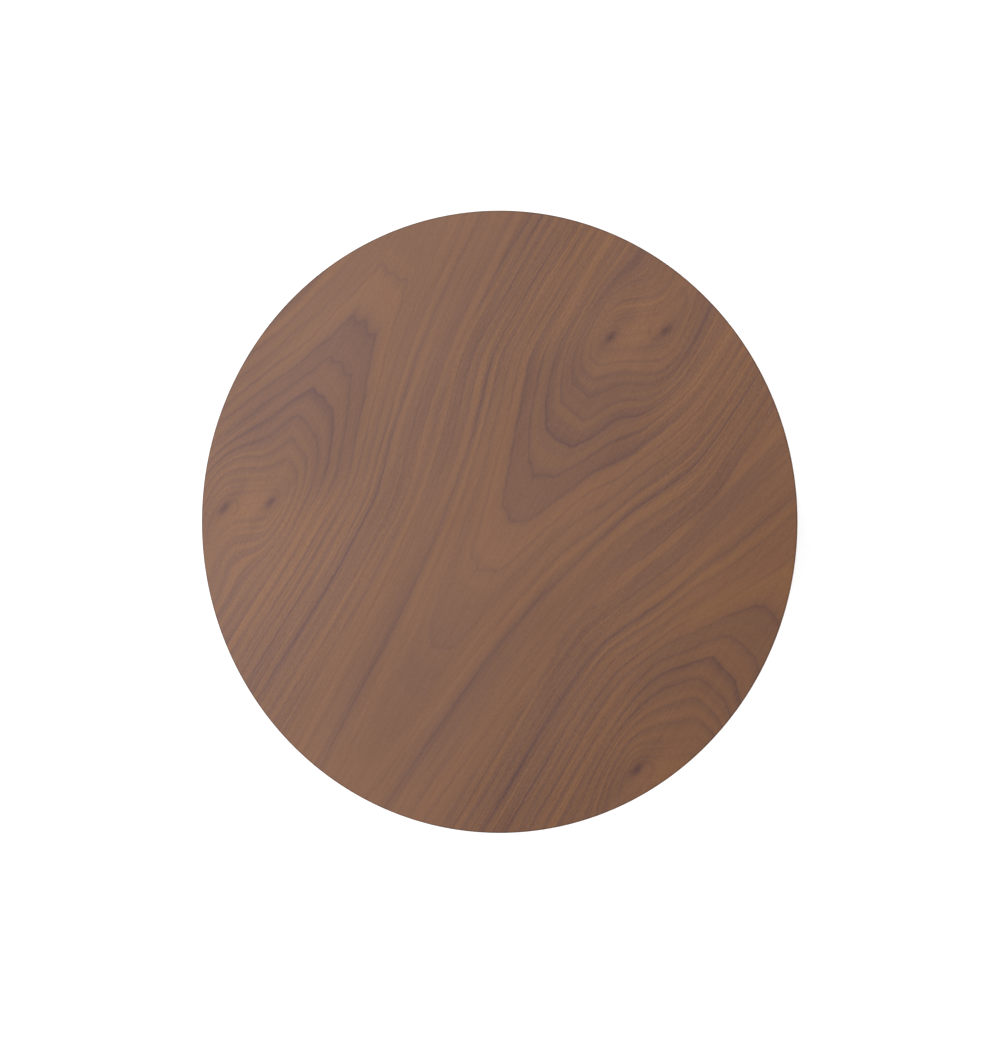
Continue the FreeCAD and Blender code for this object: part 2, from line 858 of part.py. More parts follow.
def build_latch(d):
    """Housing under the plate, and the spring bolt that slides in it."""
    plate_z = plate_height(d)
    bolt_z = plate_z - d.latch_drop

    housing = new_body("latch_housing", x=-d.housing_middle, z=plate_z)
    pad_outline(
        housing,
        "XY_Plane",
        rectangle(-d.housing_half, -d.housing_half_width, d.housing_half, d.housing_half_width),
        d.housing_depth,
        backwards=True,
    )
    round_edges(housing, d.housing_edge, runs_along("z"))
    round_edges(housing, d.housing_edge, lies_in(z=-d.housing_depth))
    pad_outline(
        housing,
        "XY_Plane",
        rectangle(-d.housing_half, -d.housing_flange, d.housing_half, d.housing_flange),
        d.housing_flange_thick,
        backwards=True,
    )
    inside = d.housing_half - d.housing_wall
    cut_outline(
        housing,
        "XY_Plane",
        rectangle(-inside, -d.cavity_half_width, inside, d.cavity_half_width),
        d.latch_drop + d.cavity_half_width,
    )
    cut_outline(
        housing,
        "XY_Plane",
        rectangle(-d.window_half, -d.window_half_width, d.window_half, d.window_half_width),
        d.housing_wall,
        offset=-d.housing_depth,
        backwards=True,
    )
    cut_circles(
        housing,
        "YZ_Plane",
        [(0, -d.latch_drop)],
        d.housing_bore,
        d.housing_half * 2 + 2,
        both_ways=True,
    )
    cut_circles(
        housing,
        "XY_Plane",
        four_corners(d.housing_screw_x, d.housing_screw_y),
        d.housing_screw_shank + d.free_fit,
        d.housing_flange_thick,
    )

    screws = new_body("housing_screws", x=-d.housing_middle, z=plate_z - d.housing_flange_thick)
    places = four_corners(d.housing_screw_x, d.housing_screw_y)
    pad_circles(
        screws, "XY_Plane", places, [d.housing_screw_head], d.housing_screw_height, backwards=True
    )
    round_edges(screws, d.housing_edge * 0.6, circle_at(-d.housing_screw_height))
    pad_circles(
        screws,
        "XY_Plane",
        places,
        [d.housing_screw_shank],
        d.housing_flange_thick + d.plate_thick,
    )
    cut_hexagons(
        screws,
        "XY_Plane",
        places,
        d.housing_socket,
        d.housing_socket_depth,
        offset=-d.housing_screw_height,
        backwards=True,
    )

    bolt = new_body("latch_bolt", x=-d.bolt_nose, z=bolt_z)
    turn_profile(
        bolt,
        [
            (0, 0),
            (0, d.bolt_tip),
            (-d.bolt_tip_length, d.bolt_radius),
            (-d.bolt_length, d.bolt_radius),
            (-d.bolt_length, d.bolt_thread),
            (-d.bolt_length - d.bolt_thread_length, d.bolt_thread),
            (-d.bolt_length - d.bolt_thread_length, 0),
        ],
        axis="H_Axis",
    )
    collar_front = d.housing_middle - inside
    collar_middle = collar_front + d.collar_thick / 2
    pin_place = [(d.bolt_nose - collar_middle, 0)]
    cut_circles(
        bolt, "XY_Plane", pin_place, d.latch_pin_hole, d.bolt_radius * 2 + 2, both_ways=True
    )

    collar = new_body("latch_collar", x=-collar_middle, z=bolt_z)
    pad_circles(
        collar,
        "YZ_Plane",
        [(0, 0)],
        [d.collar_radius, d.bolt_radius + d.close_fit],
        d.collar_thick,
        both_ways=True,
    )
    cut_circles(
        collar, "XY_Plane", [(0, 0)], d.latch_pin_hole, d.collar_radius * 2 + 2, both_ways=True
    )

    pin = new_body("latch_pin", x=-collar_middle, z=bolt_z)
    pad_circles(
        pin, "XY_Plane", [(0, 0)], [d.latch_pin_radius], d.latch_pin_half * 2, both_ways=True
    )
    bevel_edges(
        pin, d.pin_bevel / 2, either(circle_at(d.latch_pin_half), circle_at(-d.latch_pin_half))
    )

    spring_room = inside * 2 - d.collar_thick
    spring = new_body(
        "latch_spring", x=-d.housing_middle - inside + d.spring_wire, z=bolt_z
    )
    sketch = new_sketch(spring, "XZ_Plane")
    draw_circle(sketch, (0, d.spring_radius), d.spring_wire)
    coil = spring.newObject("PartDesign::AdditiveHelix", "latch_spring_coil")
    coil.Profile = sketch
    coil.ReferenceAxis = (sketch, ["H_Axis"])
    coil.Mode = "height-turns-angle"
    bind(coil, "Height", spring_room - d.spring_wire * 2)
    bind(coil, "Turns", d.spring_turns)
    finish_step(spring, coil)

    knob = new_body("latch_knob", x=-d.bolt_nose - d.bolt_length, z=bolt_z)
    turn_profile(
        knob,
        [
            (0, 0),
            (0, d.knob_neck + 1),
            (-d.knob_shoulder, d.knob_neck),
            (-d.knob_length + d.knob_rim + d.knob_flare, d.knob_neck + 0.5),
            (-d.knob_length + d.knob_rim, d.knob_radius),
            (-d.knob_length, d.knob_radius),
            (-d.knob_length, 0),
        ],
        axis="H_Axis",
    )
    round_edges(
        knob,
        d.knob_round,
        either(
            circle_at(-d.knob_length, d.knob_radius, axis=0),
            circle_at(-d.knob_length + d.knob_rim, d.knob_radius, axis=0),
        ),
    )
    cut_circles(
        knob,
        "YZ_Plane",
        [(0, 0)],
        d.bolt_thread + d.close_fit,
        d.bolt_thread_length + 1,
    )


def build_column(d):
    """Tube with its foot plug and trim ring, and the rod that clamps the stack."""
    tube = new_body("column_tube", z=d.cover_top + d.plug_flange)
    pad_circles(
        tube, "XY_Plane", [(0, 0)], [d.tube_radius, d.tube_radius - d.tube_wall], d.tube_length
    )

    plug = new_body("column_plug", z=d.cover_top)
    spigot = d.tube_radius - d.tube_wall - d.free_fit
    plug_top = d.plug_flange + d.plug_spigot
    turn_profile(
        plug,
        [
            (d.rod_clear, 0),
            (d.tube_radius, 0),
            (d.tube_radius, d.plug_flange),
            (spigot, d.plug_flange),
            (spigot, plug_top),
            (d.rod_clear, plug_top),
        ],
    )
    bevel_edges(plug, d.rod_bevel, circle_at(plug_top, spigot))

    collar = new_body("column_collar", z=d.cover_top)
    bore = d.tube_radius + d.collar_fit
    turn_profile(
        collar,
        [
            (bore, 0),
            (d.collar_wide, 0),
            (d.collar_wide, d.collar_foot),
            (d.collar_narrow + 2.5, d.collar_foot + 7),
            (d.collar_narrow, d.collar_height),
            (bore, d.collar_height),
        ],
    )
    round_edges(collar, d.pin_bevel * 2, circle_at(d.collar_foot, d.collar_wide))
    round_edges(collar, d.pad_sink, circle_at(d.collar_height, d.collar_narrow))

    rod_low = d.pad_height - d.pad_sink + 0.5
    rod_high = tube_top(d) - d.head_spigot + d.rod_engage
    rod = new_body("tie_rod", z=rod_low)
    pad_circles(rod, "XY_Plane", [(0, 0)], [d.rod_radius], rod_high - rod_low)
    bevel_edges(rod, d.rod_bevel, either(circle_at(0), circle_at(rod_high - rod_low)))

    washer_top = d.pad_height - d.pad_sink + d.well_depth
    washer_z = washer_top - d.washer_thick
    washer = new_body("tie_rod_washer", z=washer_z)
    pad_circles(washer, "XY_Plane", [(0, 0)], [d.washer_radius, d.rod_clear], d.washer_thick)

    nut = new_body("tie_rod_nut", z=washer_z - d.nut_height)
    sketch = new_sketch(nut, "XY_Plane")
    draw_hexagon(sketch, (0, 0), d.nut_flats / 2)
    draw_circle(sketch, (0, 0), d.rod_radius + d.close_fit)
    extrude(nut, "Pad", sketch, d.nut_height)


def build_base(d):
    """Cast weight, spun cover and the four feet."""
    ballast_z = d.pad_height - d.pad_sink
    foot = (d.pad_ring, 0)

    ballast = new_body("base_ballast", z=ballast_z)
    turn_profile(
        ballast,
        [
            (d.rod_clear, 0),
            (d.ballast_radius, 0),
            (d.ballast_radius, d.ballast_edge),
            (d.ballast_boss, d.ballast_height - 0.4),
            (d.ballast_boss - 1, d.ballast_height),
            (d.rod_clear, d.ballast_height),
        ],
    )
    bevel_edges(ballast, d.pad_edge * 2, circle_at(d.ballast_edge, d.ballast_radius))
    cut_circles(
        ballast, "XY_Plane", [(0, 0)], d.well_radius, d.well_depth, backwards=True
    )
    seat = cut_circles(
        ballast, "XY_Plane", [foot], d.pad_radius + d.free_fit, d.pad_sink, backwards=True
    )
    screw_hole = cut_circles(
        ballast,
        "XY_Plane",
        [foot],
        d.pad_screw_shank + d.close_fit,
        d.pad_screw_length - 5,
        backwards=True,
    )
    polar(ballast, [seat, screw_hole], d.pad_count)

    cover = new_body("base_cover")
    skirt_in = d.cover_radius - d.cover_thick
    shoulder_in = d.cover_radius - d.cover_shoulder - d.cover_thick * 0.45
    flat_under = d.cover_top - d.cover_thick
    turn_profile(
        cover,
        [
            (d.cover_hole, flat_under),
            (d.ballast_boss, flat_under),
            (shoulder_in, d.cover_skirt + d.cover_shoulder - d.cover_thick * 0.95),
            (skirt_in, d.cover_skirt - d.cover_thick * 0.4),
            (skirt_in, d.cover_gap),
            (d.cover_radius, d.cover_gap),
            (d.cover_radius, d.cover_skirt),
            (d.cover_radius - d.cover_shoulder, d.cover_skirt + d.cover_shoulder),
            (d.ballast_boss, d.cover_top),
            (d.cover_hole, d.cover_top),
        ],
    )
    round_edges(
        cover,
        d.cover_shoulder,
        either(
            circle_at(d.cover_skirt, d.cover_radius),
            circle_at(d.cover_skirt + d.cover_shoulder, d.cover_radius - d.cover_shoulder),
        ),
    )

    pads = new_body("glide_pads")
    disc = pad_circles(pads, "XY_Plane", [foot], [d.pad_radius, d.pad_screw_hole], d.pad_height)
    bevel_edges(pads, d.pad_edge, circle_at(0, d.pad_radius))
    edge_bevel = pads.Tip
    well = cut_circles(
        pads, "XY_Plane", [foot], d.pad_screw_well, d.pad_screw_well_depth, backwards=True
    )
    polar(pads, [disc, edge_bevel, well], d.pad_count)

    head_z = d.pad_screw_well_depth - d.pad_screw_head_height
    screws = new_body("glide_screws", z=head_z)
    head = pad_circles(
        screws, "XY_Plane", [foot], [d.pad_screw_head], d.pad_screw_head_height
    )
    bevel_edges(screws, d.pad_edge / 2, circle_at(0, d.pad_screw_head))
    head_bevel = screws.Tip
    shank = pad_circles(
        screws,
        "XY_Plane",
        [foot],
        [d.pad_screw_shank],
        d.pad_screw_length - 3,
        offset=d.pad_screw_head_height,
    )
    socket = cut_hexagons(
        screws, "XY_Plane", [foot], d.housing_socket, d.pad_edge, backwards=True
    )
    polar(screws, [head, head_bevel, shank, socket], d.pad_count)


def check_and_write():
    """Stops if anything failed to compute, then writes each body to its own file."""
    doc.recompute()
    faults = []
    for item in doc.Objects:
        if any(word in item.State for word in ("Invalid", "Error")):
            faults.append(f"{item.Name}: {item.State}")
    bodies = [item for item in doc.Objects if item.TypeId == "PartDesign::Body"]
    for body in bodies:
        if body.Shape.isNull() or not body.Shape.isValid() or not body.Shape.Solids:
            faults.append(f"{body.Label}: no valid solid")
    if faults:
        raise RuntimeError("; ".join(faults))
    os.makedirs("parts", exist_ok=True)
    for body in bodies:
        body.Shape.exportStep(f"parts/{body.Label}.step")
    print(len(bodies), "pieces written")


doc = FreeCAD.newDocument("tilt_top_table")
sizes = fill_sheet(doc)
doc.recompute()
for build in (build_top, build_plate, build_pivot, build_head, build_latch, build_column, build_base):
    build(sizes)
check_and_write()
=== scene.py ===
"""Looks of the round tilt-top table: finer turned pieces, materials, light and camera."""

import json
import math

import bmesh
import bpy
from mathutils import Matrix, Vector


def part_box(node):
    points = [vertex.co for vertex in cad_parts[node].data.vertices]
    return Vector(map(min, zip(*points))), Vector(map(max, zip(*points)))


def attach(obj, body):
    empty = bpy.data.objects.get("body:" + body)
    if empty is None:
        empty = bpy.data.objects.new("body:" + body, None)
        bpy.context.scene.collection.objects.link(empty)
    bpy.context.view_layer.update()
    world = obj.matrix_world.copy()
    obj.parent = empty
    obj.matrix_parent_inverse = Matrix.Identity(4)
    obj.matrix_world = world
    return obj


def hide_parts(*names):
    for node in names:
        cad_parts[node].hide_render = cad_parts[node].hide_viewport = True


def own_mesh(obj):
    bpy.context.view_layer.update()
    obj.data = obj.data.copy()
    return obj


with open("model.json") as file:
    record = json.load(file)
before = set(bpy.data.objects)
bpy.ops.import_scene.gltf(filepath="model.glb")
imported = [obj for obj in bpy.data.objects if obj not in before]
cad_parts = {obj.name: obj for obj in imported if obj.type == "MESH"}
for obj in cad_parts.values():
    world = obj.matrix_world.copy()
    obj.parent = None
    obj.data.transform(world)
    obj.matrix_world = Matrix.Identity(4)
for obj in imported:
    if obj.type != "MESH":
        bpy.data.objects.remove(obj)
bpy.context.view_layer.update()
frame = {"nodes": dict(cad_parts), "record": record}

MM = 0.001
TAU = 2 * math.pi


# ---------------------------------------------------------------- pattern arithmetic


class Flow:
    """A number on its way through a material, so that a pattern reads as arithmetic."""

    def __init__(self, graph, socket):
        self.graph = graph
        self.socket = socket

    def __add__(self, other):
        return self.graph.maths("ADD", self, other)

    __radd__ = __add__

    def __sub__(self, other):
        return self.graph.maths("SUBTRACT", self, other)

    def __rsub__(self, other):
        return self.graph.maths("SUBTRACT", other, self)

    def __mul__(self, other):
        return self.graph.maths("MULTIPLY", self, other)

    __rmul__ = __mul__

    def __truediv__(self, other):
        return self.graph.maths("DIVIDE", self, other)


class Graph:
    """One material's shader graph."""

    def __init__(self, name):
        self.material = bpy.data.materials.new(name)
        self.material.use_nodes = True
        self.nodes = self.material.node_tree.nodes
        self.links = self.material.node_tree.links
        self.nodes.clear()

    def node(self, kind, **settings):
        made = self.nodes.new("ShaderNode" + kind)
        for key, value in settings.items():
            setattr(made, key, value)
        return made

    def put(self, socket, value):
        if isinstance(value, Flow):
            self.links.new(value.socket, socket)
        elif isinstance(value, bpy.types.NodeSocket):
            self.links.new(value, socket)
        elif isinstance(value, tuple) and socket.type == "RGBA":
            socket.default_value = (*value, 1.0)
        else:
            socket.default_value = value

    def maths(self, operation, *values):
        made = self.node("Math", operation=operation)
        for socket, value in zip(made.inputs, values):
            self.put(socket, value)
        return Flow(self, made.outputs[0])

    def step(self, value, low, high):
        """0 up to low, 1 from high on, and smooth between."""
        made = self.node("MapRange", interpolation_type="SMOOTHSTEP")
        self.put(made.inputs["Value"], value)
        self.put(made.inputs["From Min"], low)
        self.put(made.inputs["From Max"], high)
        return Flow(self, made.outputs["Result"])

    def place(self):
        """Where a point lies in the table at rest, in metres."""
        split = self.node("SeparateXYZ")
        self.links.new(self.node("TexCoord").outputs["Object"], split.inputs[0])
        return [Flow(self, socket) for socket in split.outputs]

    def noise(self, x, y, z=0.0, detail=2.0, roughness=0.5):
        """Smooth noise, mostly between -1 and 1."""
        joined = self.node("CombineXYZ")
        for socket, value in zip(joined.inputs, (x, y, z)):
            self.put(socket, value)
        made = self.node("TexNoise", noise_dimensions="3D")
        self.links.new(joined.outputs[0], made.inputs["Vector"])
        made.inputs["Scale"].default_value = 1.0
        made.inputs["Detail"].default_value = detail
        made.inputs["Roughness"].default_value = roughness
        return (Flow(self, made.outputs["Fac"]) - 0.5) * 4.0

    def chance(self, value):
        """A random number from 0 to 1 for each whole number."""
        made = self.node("TexWhiteNoise", noise_dimensions="1D")
        self.put(made.inputs["W"], value)
        return Flow(self, made.outputs["Value"])

    def eased(self, radius):
        """The normal as if every sharp edge were rounded to this radius."""
        made = self.node("Bevel", samples=4)
        made.inputs["Radius"].default_value = radius
        return made.outputs["Normal"]

    def rubbed(self, radius):
        """0 on open faces, up to 1 along edges."""
        made = self.node("VectorMath", operation="DOT_PRODUCT")
        self.links.new(self.eased(radius), made.inputs[0])
        self.links.new(self.node("NewGeometry").outputs["Normal"], made.inputs[1])
        return self.step(1 - Flow(self, made.outputs["Value"]), 0.02, 0.2)

    def zigzag(self, value):
        """Straight runs between random heights from -1 to 1 at the whole numbers."""
        start = whole(value)
        first = self.chance(start + 0.5)
        second = self.chance(start + 1.5)
        return (first + (second - first) * (value - start)) * 2 - 1

    def colour_of(self, red, green, blue):
        made = self.node("CombineColor")
        for socket, value in zip(made.inputs, (red, green, blue)):
            self.put(socket, value)
        return made.outputs[0]

    def ramp(self, value, stops):
        """A colour from a number, by (place, colour) stops."""
        made = self.node("ValToRGB")
        elements = made.color_ramp.elements
        while len(elements) < len(stops):
            elements.new(1.0)
        for element, (where, tone) in zip(elements, stops):
            element.position = where
            element.color = (*tone, 1.0)
        self.put(made.inputs["Fac"], value)
        return made.outputs["Color"]

    def mix(self, first, second, share):
        made = self.node("Mix", data_type="RGBA")
        sockets = {socket.identifier: socket for socket in (*made.inputs, *made.outputs)}
        self.put(sockets["Factor_Float"], share)
        self.put(sockets["A_Color"], first)
        self.put(sockets["B_Color"], second)
        return sockets["Result_Color"]

    def finish(self, colour, roughness, metallic=0.0, height=None, depth=0.0, ease=0.0, **more):
        """Ends the graph in one surface.

        height times depth is the relief in metres, and ease the rounding of sharp edges.
        """
        shader = self.node("BsdfPrincipled")
        self.put(shader.inputs["Base Color"], colour)
        self.put(shader.inputs["Roughness"], roughness)
        self.put(shader.inputs["Metallic"], metallic)
        for key, value in more.items():
            self.put(shader.inputs[key.replace("_", " ")], value)
        normal = self.eased(ease) if ease else None
        if height is not None:
            bump = self.node("Bump")
            self.put(bump.inputs["Height"], height)
            bump.inputs["Strength"].default_value = 1.0
            bump.inputs["Distance"].default_value = depth
            if normal:
                self.links.new(normal, bump.inputs["Normal"])
            normal = bump.outputs["Normal"]
        if normal:
            self.links.new(normal, shader.inputs["Normal"])
        out = self.node("OutputMaterial")
        self.links.new(shader.outputs["BSDF"], out.inputs["Surface"])
        return self.material


def square(a):
    return a * a


def absolute(a):
    return a.graph.maths("ABSOLUTE", a)


def root(a):
    return a.graph.maths("SQRT", a)


def exponent(a):
    return a.graph.maths("EXPONENT", a)


def fraction(a):
    return a.graph.maths("FRACT", a)


def whole(a):
    return a.graph.maths("FLOOR", a)


def larger(a, b):
    return a.graph.maths("MAXIMUM", a, b)


def smaller(a, b):
    return a.graph.maths("MINIMUM", a, b)


def smaller_smoothly(a, b, width):
    return a.graph.maths("SMOOTH_MIN", a, b, width)


def larger_smoothly(a, b, width):
    return a.graph.maths("SMOOTH_MAX", a, b, width)


def between(a, b, share):
    return a + (b - a) * share


# ---------------------------------------------------------------- walnut

TOP_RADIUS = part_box("top_veneer")[1].x
GRAIN_TURN = math.radians(58)

# The three crown figures of the face veneer: the middle of each pair of eyes along and
# across the grain, the way the tips point, how soon the rings spread out ahead, and how
# the row of tips lies to one side and slants. Lengths are in top radii.
CROWNS = (
    {"along": -0.396, "across": -0.733, "way": 1.0, "reach": 0.62, "shift": 0.045, "slant": 0.0},
    {"along": 0.765, "across": 0.123, "way": -1.0, "reach": 0.62, "shift": 0.045, "slant": 0.0},
    {"along": -0.347, "across": 0.910, "way": 1.0, "reach": 0.53, "shift": -0.060, "slant": 0.13},
)
# From the middle of a pair to either eye, an eye's length and width, and its slant.
EYE_AHEAD = 0.050
EYE_BESIDE = 0.070
EYE_LENGTH = 0.024
EYE_WIDTH = 0.012
EYE_SLANT = 0.004
# A curl beside one eye of each pair: its middle, in shares of the way to the eye, and size.
CURL_AHEAD = 0.72
CURL_BESIDE = 0.62
CURL_LENGTH = 0.026
CURL_WIDTH = 0.020
# Half the width of the level tip of a ring, and the size of the bends and notches in it.
TIP_HALF = 0.050
BEND_SIZE = 0.04
NOTCH_SIZE = 0.015
# How far a tip is angular and not round, and how steep its flanks stand in the inner and
# in the outer rings: 0.71 keeps them on the round ones, and 1.0 runs them to a point.
ANGULAR = 0.75
FLANK_INNER = 0.74
FLANK_OUTER = 0.84
# Rings ahead of the eyes and behind them, rings in a radius sideways, and how they crowd.
RINGS_AHEAD = 11.6
RINGS_BEHIND = 4.5
RINGS_ACROSS = 29.5
RINGS_CROWDING = 8


def crown_eyes(graph, ahead, beside, towards):
    """Darkness of a pair of eyes: a core with a halo, a tail along the grain and a curl."""
    which = graph.maths("SIGN", towards)
    along = (ahead * which - EYE_AHEAD) / EYE_LENGTH
    across = (beside * which - EYE_BESIDE - along * EYE_SLANT) / EYE_WIDTH
    off = square(along) + square(across)
    core = exponent(off * -0.9)
    halo = exponent(off * -0.10)
    tail = exponent(square(along) * -0.022 - square(across) * 0.22)
    curl_along = (ahead + EYE_AHEAD * CURL_AHEAD) / CURL_LENGTH
    curl_across = (beside + EYE_BESIDE * CURL_BESIDE) / CURL_WIDTH
    curl_off = root(square(curl_along) + square(curl_across)) - 1
    open_end = graph.step(curl_across + curl_along, -0.9, 0.6)
    curl = exponent(square(curl_off) * -14) * open_end
    return core + halo * 0.16 + tail * 0.22 + curl * 0.30


def crown_rings(graph, along, across, kinks, notches, crown):
    """One crown figure.

    Gives the rings counted outward from between its eyes, how many pass in a radius, how
    far into the crown a point is, and how much of it lies in an eye.
    """
    ahead = (along - crown["along"]) * crown["way"]
    beside = (across - crown["across"]) * crown["way"]

    # From one eye to the other, -1 to 1, so that the innermost rings go round both.
    towards = ahead * EYE_AHEAD + beside * EYE_BESIDE
    share = towards / (EYE_AHEAD**2 + EYE_BESIDE**2)
    share = share / root(root(square(square(share)) + 1))
    far = root(square(ahead) * 0.35 + square(beside))
    share = share * (1 - graph.step(far, 0.08, 0.22))
    bends = kinks * graph.step(ahead, 0.08, 0.30) * BEND_SIZE
    teeth = notches * graph.step(ahead, 0.38, 0.55) * NOTCH_SIZE
    off_ahead = ahead - share * EYE_AHEAD + bends + teeth
    off_beside = beside - share * EYE_BESIDE

    # Sideways the rings lie close; ahead they spread out into wide pointed tips.
    tip = graph.step(ahead, 0.02, 0.30)
    level = tip * TIP_HALF
    near = 1 - graph.step(absolute(off_beside), 0.12, 0.42)
    shift = tip * near * (off_ahead * crown["slant"] + crown["shift"])
    sideways = larger(absolute(off_beside - shift), level)
    sides = sideways * RINGS_ACROSS + square(sideways) * sideways * RINGS_CROWDING
    most = between(RINGS_BEHIND, RINGS_AHEAD, graph.step(off_ahead, -0.02, 0.02))
    spread = exponent(absolute(off_ahead) / -crown["reach"])
    ends = (1 - spread) * most
    flat = level * RINGS_ACROSS
    beyond = root(square(sides) - square(flat))
    flank = between(FLANK_INNER, FLANK_OUTER, graph.step(ends, 3.0, 9.0))
    facet = (beyond + ends) * flank
    straight = larger_smoothly(larger_smoothly(beyond, ends, 1.2), facet, 2.4)
    rings = between(root(square(beyond) + square(ends)), straight, tip * ANGULAR)

    tilt = sides / (rings + 0.01)
    pace_ends = spread * (RINGS_AHEAD / crown["reach"])
    pace_sides = square(sideways) * (RINGS_CROWDING * 3) + RINGS_ACROSS
    pace = between(pace_ends, pace_sides, smaller(square(tilt), 1.0))
    return rings, pace, tip, crown_eyes(graph, ahead, beside, towards)


def across_the_grain(x, y):
    """How far a point lies along and across the grain of the two veneers."""
    along = x * math.cos(GRAIN_TURN) + y * math.sin(GRAIN_TURN)
    across = x * math.sin(GRAIN_TURN) - y * math.cos(GRAIN_TURN)
    return along, across


def walnut_field(graph, along, across):
    """The growth rings over the whole top, as crown_rings gives them for one crown."""
    sway = graph.noise(along * 0.9, across * 1.5, 5.3, detail=0) * 0.5
    kinks = graph.zigzag(across * 11 + sway)
    fine_sway = graph.noise(along * 2, across * 3, 11.0, detail=0) * 0.5
    notches = graph.zigzag(across * 38 + fine_sway)
    ripple = graph.noise(along * 38, across * 9, 2.2, detail=1) * 0.0013
    bend_along = graph.noise(along * 1.3, across * 2.6, 3.7, detail=1) * 0.015
    bend_across = graph.noise(along * 1.1, across * 2.2, 9.1, detail=1) * 0.006
    bent = (along + bend_along, across + bend_across + ripple)
    rings, pace, tip, eye = crown_rings(graph, *bent, kinks, notches, CROWNS[0])
    for crown in CROWNS[1:]:
        other = crown_rings(graph, *bent, kinks, notches, crown)
        own = graph.step(other[0] - rings, -0.8, 0.8)
        pace = between(other[1], pace, own)
        tip = between(other[2], tip, own)
        eye = larger(eye, other[3])
        rings = smaller_smoothly(rings, other[0], 1.0)
    return rings, pace, tip, eye


# The veneer's colour as it is seen in the studio, from 0 to 255, and how a unit of
# lightness shifts it: in broad clouds with the painted light across the top, in growth
# rings, whose dark lines are cooler, and in the finest pores.
WALNUT = (133.0, 100.4, 84.3)
CLOUD_AND_LIGHT_SHIFT = (1.01, 0.99, 1.08)
RING_SHIFT = (1.50, 0.94, 0.10)
PORE_SHIFT = (1.04, 1.00, 0.90)
# The light on the level top, as shares of what a white face sends back: what the colour
# is multiplied by, and what the lacquer's gloss adds to it.
LIGHT = 1.40
GLARE = 0.0405
# Warmer and duller clouds: middle across and up, spread, in top radii, and lightness.
CLOUDS = (
    (-0.25, 0.85, 0.30, -3.6),
    (-0.62, -0.05, 0.26, 3.2),
    (0.86, 0.02, 0.16, -2.4),
    (0.70, -0.42, 0.28, 3.8),
    (-0.30, -0.58, 0.30, -2.8),
    (0.42, 0.40, 0.26, 2.4),
)
# How much painted shade darkens the rim where its edge is eased, and where that starts
# and ends, in top radii.
RIM_SHADE = 0.14
RIM_STARTS = 0.9945
RIM_ENDS = 0.9985


def ring_lines(graph, along, across, rings, pace, tip, band):
    """The dark latewood lines, as (line, finer lines in the bands, shade, heartwood)."""
    wobble = graph.noise(along * 12, across * 22, 1.0) * 0.03
    drift = graph.noise(along * 1.8, across * 6, 2.0, detail=1) * 0.12
    count = rings + wobble + drift
    phase = fraction(count)
    outer = graph.step(rings, 8.3, 8.8) * (1 - graph.step(pace, 14.0, 24.0))
    weight = (graph.chance(whole(count) + 0.31) * 0.6 + 0.45) * (1 - outer * 0.5)
    patch = graph.noise(along * 3.5, across * 14, 12.0, detail=1)
    patchy = graph.step(patch, -1.1, 0.5) * 0.5 + 0.5

    # A ring darkens slowly towards its line and starts light again just past it.
    within = (1 - phase) / pace
    without = phase / pace
    line = larger(exponent(within / -0.0080), exponent(without / -0.0045))
    line = line * weight * patchy * graph.step(rings, 0.5, 1.2)
    shade = exponent(within / -0.050) * (weight * 0.6 + 0.1) * (1 - band * 0.7)

    soft_drift = graph.noise(along * 2.5, across * 30, 17.0, detail=1) * 0.25
    second = count * 2.6 + soft_drift
    finer = exponent((1 - fraction(second)) / pace / -0.0105) * band * patchy
    finer = finer * graph.step(graph.chance(whole(second) + 0.77), 0.35, 0.75)
    heartwood = tip * graph.step(rings, 1.5, 3.5) * (1 - graph.step(rings, 7.4, 8.6))
    return line, finer, shade, heartwood


def ring_streaks(graph, along, rings, band):
    """Soft light and dark that follows the rings, calmer between the eyes of a pair."""
    calm = 1 - graph.step(rings, 0.4, 1.7)
    broad = graph.noise(rings * 0.42, along * 0.7, 3.0, detail=0)
    soft = graph.noise(rings * 1.3, along * 0.8, 4.0, detail=1)
    lines = graph.noise(rings * 4.2, along * 1.6, 5.0, detail=2, roughness=0.6)
    hairs = graph.noise(rings * 9, along * 2.5, 6.0, detail=1)
    gleam = graph.noise(rings * 3.1, along * 0.7, 15.0, detail=1)
    fine = soft * 4.6 + lines * (band * 3.3 + 1.9) + hairs * (band * 3.2 + 0.5)
    light = calm * 3.5 + graph.step(gleam, 0.55, 1.1) * band * 6
    return broad * 2.2 + fine * (1 - calm * 0.85) + light


